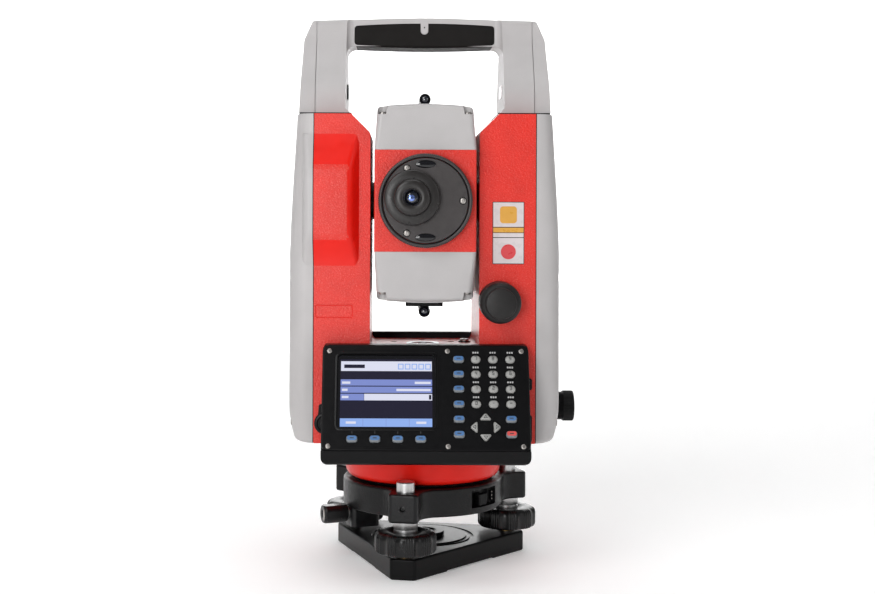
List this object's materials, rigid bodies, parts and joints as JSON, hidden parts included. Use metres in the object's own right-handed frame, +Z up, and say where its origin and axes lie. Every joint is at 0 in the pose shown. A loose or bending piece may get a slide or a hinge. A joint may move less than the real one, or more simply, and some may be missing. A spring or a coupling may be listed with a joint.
{
  "type": "surveying total station",
  "caption": "Electronic total station: transit telescope in a U-shaped alidade with carry handle and tilted keypad display, on a three-screw tribrach.",
  "frame": {"origin": "on the vertical axis, at the mouth of the tripod thread in the underside of the base plate", "axes": "+Z up the vertical axis, -Y towards the operator (eyepiece and main display), +X along the trunnion axis to the operator's right"},
  "size_m": [0.1796, 0.17, 0.3459],
  "materials": {
    "black_casting": "fine textured black paint on a light alloy casting",
    "foot_screws": "black knob on a bright turned spindle",
    "black_knobs": "black anodised, satin",
    "circle_glass": "coded glass disc",
    "bearing_steel": "turned and ground steel",
    "red_paint": "glossy red leather-grain paint on a light alloy casting",
    "grey_shell": "warm light grey moulding, fine spark grain",
    "grip_rubber": "soft black grip",
    "black_plastic": "black moulding, fine grain",
    "screen_glass": "clear window over a colour screen",
    "lens_glass": "coated lens",
    "blue_keys": "blue silicone key",
    "grey_keys": "grey silicone key",
    "red_key": "red silicone key"
  },
  "bodies": {
    "base": {"base_plate": "black_casting"},
    "screw_front": {"foot_screw_front": "foot_screws"},
    "screw_right": {"foot_screw_right": "foot_screws"},
    "screw_left": {"foot_screw_left": "foot_screws"},
    "head": {"tribrach_head": "black_casting", "base_flange": "black_casting", "horizontal_circle": "circle_glass"},
    "lock": {"lock_knob": "black_knobs"},
    "alidade": {"vertical_axle": "bearing_steel", "base_bowl": "red_paint", "yoke_frame": "red_paint", "left_side_cover": "grey_shell", "right_side_cover": "grey_shell", "handle": "grey_shell", "handle_grip": "grip_rubber", "circular_level": "bearing_steel", "display_housing": "black_plastic", "display_bezel": "black_plastic", "display_window": "screen_glass", "rear_display": "black_plastic"},
    "battery": {"battery_pack": "grey_shell"},
    "vertical_drive": {"vertical_drive_knob": "black_knobs"},
    "horizontal_drive": {"horizontal_drive_knob": "black_knobs"},
    "telescope": {"telescope_body": "red_paint", "telescope_top_cover": "grey_shell", "telescope_bottom_cover": "grey_shell", "objective_lens": "lens_glass", "trunnion_axle": "bearing_steel", "vertical_circle": "circle_glass", "sights": "black_plastic"},
    "focus": {"focus_ring": "black_knobs"},
    "ocular": {"eyepiece": "black_knobs"},
    "key_f1_cap": {"key_f1": "blue_keys"},
    "key_f2_cap": {"key_f2": "blue_keys"},
    "key_f3_cap": {"key_f3": "blue_keys"},
    "key_f4_cap": {"key_f4": "blue_keys"},
    "key_c1_cap": {"key_c1": "blue_keys"},
    "key_c2_cap": {"key_c2": "blue_keys"},
    "key_c3_cap": {"key_c3": "blue_keys"},
    "key_c4_cap": {"key_c4": "blue_keys"},
    "key_c5_cap": {"key_c5": "blue_keys"},
    "key_c6_cap": {"key_c6": "blue_keys"},
    "key_0_cap": {"key_0": "grey_keys"},
    "key_1_cap": {"key_1": "grey_keys"},
    "key_2_cap": {"key_2": "grey_keys"},
    "key_3_cap": {"key_3": "grey_keys"},
    "key_4_cap": {"key_4": "grey_keys"},
    "key_5_cap": {"key_5": "grey_keys"},
    "key_6_cap": {"key_6": "grey_keys"},
    "key_7_cap": {"key_7": "grey_keys"},
    "key_8_cap": {"key_8": "grey_keys"},
    "key_9_cap": {"key_9": "grey_keys"},
    "key_point_cap": {"key_point": "grey_keys"},
    "key_minus_cap": {"key_minus": "grey_keys"},
    "key_up_cap": {"key_up": "grey_keys"},
    "key_left_cap": {"key_left": "grey_keys"},
    "key_right_cap": {"key_right": "grey_keys"},
    "key_down_cap": {"key_down": "grey_keys"},
    "key_blue_cap": {"key_blue": "blue_keys"},
    "key_red_cap": {"key_red": "red_key"}
  },
  "joints": [
    {"name": "telescope_tilt", "type": "hinge", "parent": "alidade", "child": "telescope", "pos_m": [0, 0, 0.229], "axis": [1, 0, 0], "continuous": true},
    {"name": "alidade_rotation", "type": "hinge", "parent": "head", "child": "alidade", "pos_m": [0, 0, 0.08], "axis": [0, 0, 1], "continuous": true},
    {"name": "battery_slide", "type": "slide", "parent": "alidade", "child": "battery", "axis": [-1, 0, 0], "range_m": [0, 0.06]},
    {"name": "front_screw_turn", "type": "hinge", "parent": "base", "child": "screw_front", "pos_m": [-0.01126, -0.05792, 0.02], "axis": [0, 0, 1], "range_deg": [-1440, 1440]},
    {"name": "right_screw_turn", "type": "hinge", "parent": "base", "child": "screw_right", "pos_m": [0.05579, 0.01921, 0.02], "axis": [0, 0, 1], "range_deg": [-1440, 1440]},
    {"name": "left_screw_turn", "type": "hinge", "parent": "base", "child": "screw_left", "pos_m": [-0.04453, 0.03871, 0.02], "axis": [0, 0, 1], "range_deg": [-1440, 1440]},
    {"name": "head_lift", "type": "slide", "parent": "base", "child": "head", "axis": [0, 0, 1], "range_m": [-0.003, 0.003]},
    {"name": "lock_turn", "type": "hinge", "parent": "head", "child": "lock", "pos_m": [-0.04713, -0.01669, 0.031], "axis": [-0.9426, -0.3338, 0], "range_deg": [0, 180]},
    {"name": "focus_turn", "type": "hinge", "parent": "telescope", "child": "focus", "pos_m": [0, -0.066, 0.229], "axis": [0, -1, 0], "range_deg": [-170, 170]},
    {"name": "eyepiece_turn", "type": "hinge", "parent": "telescope", "child": "ocular", "pos_m": [-0.0082, -0.075, 0.2308], "axis": [0, -1, 0], "range_deg": [-150, 150]},
    {"name": "vertical_drive_turn", "type": "hinge", "parent": "alidade", "child": "vertical_drive", "pos_m": [0.0455, -0.05, 0.1675], "axis": [0, -1, 0], "continuous": true},
    {"name": "horizontal_drive_turn", "type": "hinge", "parent": "alidade", "child": "horizontal_drive", "pos_m": [0.085, -0.01, 0.0984], "axis": [1, 0, 0], "continuous": true},
    {"name": "key_f1_press", "type": "slide", "parent": "alidade", "child": "key_f1_cap", "axis": [0, 0.9348, -0.3551], "range_m": [0, 0.001], "stiffness_N_per_m": 300, "springref_m": -0.0003},
    {"name": "key_f2_press", "type": "slide", "parent": "alidade", "child": "key_f2_cap", "axis": [0, 0.9348, -0.3551], "range_m": [0, 0.001], "stiffness_N_per_m": 300, "springref_m": -0.0003},
    {"name": "key_f3_press", "type": "slide", "parent": "alidade", "child": "key_f3_cap", "axis": [0, 0.9348, -0.3551], "range_m": [0, 0.001], "stiffness_N_per_m": 300, "springref_m": -0.0003},
    {"name": "key_f4_press", "type": "slide", "parent": "alidade", "child": "key_f4_cap", "axis": [0, 0.9348, -0.3551], "range_m": [0, 0.001], "stiffness_N_per_m": 300, "springref_m": -0.0003},
    {"name": "key_c1_press", "type": "slide", "parent": "alidade", "child": "key_c1_cap", "axis": [0, 0.9348, -0.3551], "range_m": [0, 0.001], "stiffness_N_per_m": 300, "springref_m": -0.0003},
    {"name": "key_c2_press", "type": "slide", "parent": "alidade", "child": "key_c2_cap", "axis": [0, 0.9348, -0.3551], "range_m": [0, 0.001], "stiffness_N_per_m": 300, "springref_m": -0.0003},
    {"name": "key_c3_press", "type": "slide", "parent": "alidade", "child": "key_c3_cap", "axis": [0, 0.9348, -0.3551], "range_m": [0, 0.001], "stiffness_N_per_m": 300, "springref_m": -0.0003},
    {"name": "key_c4_press", "type": "slide", "parent": "alidade", "child": "key_c4_cap", "axis": [0, 0.9348, -0.3551], "range_m": [0, 0.001], "stiffness_N_per_m": 300, "springref_m": -0.0003},
    {"name": "key_c5_press", "type": "slide", "parent": "alidade", "child": "key_c5_cap", "axis": [0, 0.9348, -0.3551], "range_m": [0, 0.001], "stiffness_N_per_m": 300, "springref_m": -0.0003},
    {"name": "key_c6_press", "type": "slide", "parent": "alidade", "child": "key_c6_cap", "axis": [0, 0.9348, -0.3551], "range_m": [0, 0.001], "stiffness_N_per_m": 300, "springref_m": -0.0003},
    {"name": "key_0_press", "type": "slide", "parent": "alidade", "child": "key_0_cap", "axis": [0, 0.9348, -0.3551], "range_m": [0, 0.001], "stiffness_N_per_m": 300, "springref_m": -0.0003},
    {"name": "key_1_press", "type": "slide", "parent": "alidade", "child": "key_1_cap", "axis": [0, 0.9348, -0.3551], "range_m": [0, 0.001], "stiffness_N_per_m": 300, "springref_m": -0.0003},
    {"name": "key_2_press", "type": "slide", "parent": "alidade", "child": "key_2_cap", "axis": [0, 0.9348, -0.3551], "range_m": [0, 0.001], "stiffness_N_per_m": 300, "springref_m": -0.0003},
    {"name": "key_3_press", "type": "slide", "parent": "alidade", "child": "key_3_cap", "axis": [0, 0.9348, -0.3551], "range_m": [0, 0.001], "stiffness_N_per_m": 300, "springref_m": -0.0003},
    {"name": "key_4_press", "type": "slide", "parent": "alidade", "child": "key_4_cap", "axis": [0, 0.9348, -0.3551], "range_m": [0, 0.001], "stiffness_N_per_m": 300, "springref_m": -0.0003},
    {"name": "key_5_press", "type": "slide", "parent": "alidade", "child": "key_5_cap", "axis": [0, 0.9348, -0.3551], "range_m": [0, 0.001], "stiffness_N_per_m": 300, "springref_m": -0.0003},
    {"name": "key_6_press", "type": "slide", "parent": "alidade", "child": "key_6_cap", "axis": [0, 0.9348, -0.3551], "range_m": [0, 0.001], "stiffness_N_per_m": 300, "springref_m": -0.0003},
    {"name": "key_7_press", "type": "slide", "parent": "alidade", "child": "key_7_cap", "axis": [0, 0.9348, -0.3551], "range_m": [0, 0.001], "stiffness_N_per_m": 300, "springref_m": -0.0003},
    {"name": "key_8_press", "type": "slide", "parent": "alidade", "child": "key_8_cap", "axis": [0, 0.9348, -0.3551], "range_m": [0, 0.001], "stiffness_N_per_m": 300, "springref_m": -0.0003},
    {"name": "key_9_press", "type": "slide", "parent": "alidade", "child": "key_9_cap", "axis": [0, 0.9348, -0.3551], "range_m": [0, 0.001], "stiffness_N_per_m": 300, "springref_m": -0.0003},
    {"name": "key_point_press", "type": "slide", "parent": "alidade", "child": "key_point_cap", "axis": [0, 0.9348, -0.3551], "range_m": [0, 0.001], "stiffness_N_per_m": 300, "springref_m": -0.0003},
    {"name": "key_minus_press", "type": "slide", "parent": "alidade", "child": "key_minus_cap", "axis": [0, 0.9348, -0.3551], "range_m": [0, 0.001], "stiffness_N_per_m": 300, "springref_m": -0.0003},
    {"name": "key_up_press", "type": "slide", "parent": "alidade", "child": "key_up_cap", "axis": [0, 0.9348, -0.3551], "range_m": [0, 0.001], "stiffness_N_per_m": 300, "springref_m": -0.0003},
    {"name": "key_left_press", "type": "slide", "parent": "alidade", "child": "key_left_cap", "axis": [0, 0.9348, -0.3551], "range_m": [0, 0.001], "stiffness_N_per_m": 300, "springref_m": -0.0003},
    {"name": "key_right_press", "type": "slide", "parent": "alidade", "child": "key_right_cap", "axis": [0, 0.9348, -0.3551], "range_m": [0, 0.001], "stiffness_N_per_m": 300, "springref_m": -0.0003},
    {"name": "key_down_press", "type": "slide", "parent": "alidade", "child": "key_down_cap", "axis": [0, 0.9348, -0.3551], "range_m": [0, 0.001], "stiffness_N_per_m": 300, "springref_m": -0.0003},
    {"name": "key_blue_press", "type": "slide", "parent": "alidade", "child": "key_blue_cap", "axis": [0, 0.9348, -0.3551], "range_m": [0, 0.001], "stiffness_N_per_m": 300, "springref_m": -0.0003},
    {"name": "key_red_press", "type": "slide", "parent": "alidade", "child": "key_red_cap", "axis": [0, 0.9348, -0.3551], "range_m": [0, 0.001], "stiffness_N_per_m": 300, "springref_m": -0.0003}
  ],
  "couplings": [
    {"joint": "front_screw_turn", "follows": "head_lift", "rad_per_m": -8377.6},
    {"joint": "right_screw_turn", "follows": "head_lift", "rad_per_m": -8377.6},
    {"joint": "left_screw_turn", "follows": "head_lift", "rad_per_m": -8377.6}
  ]
}
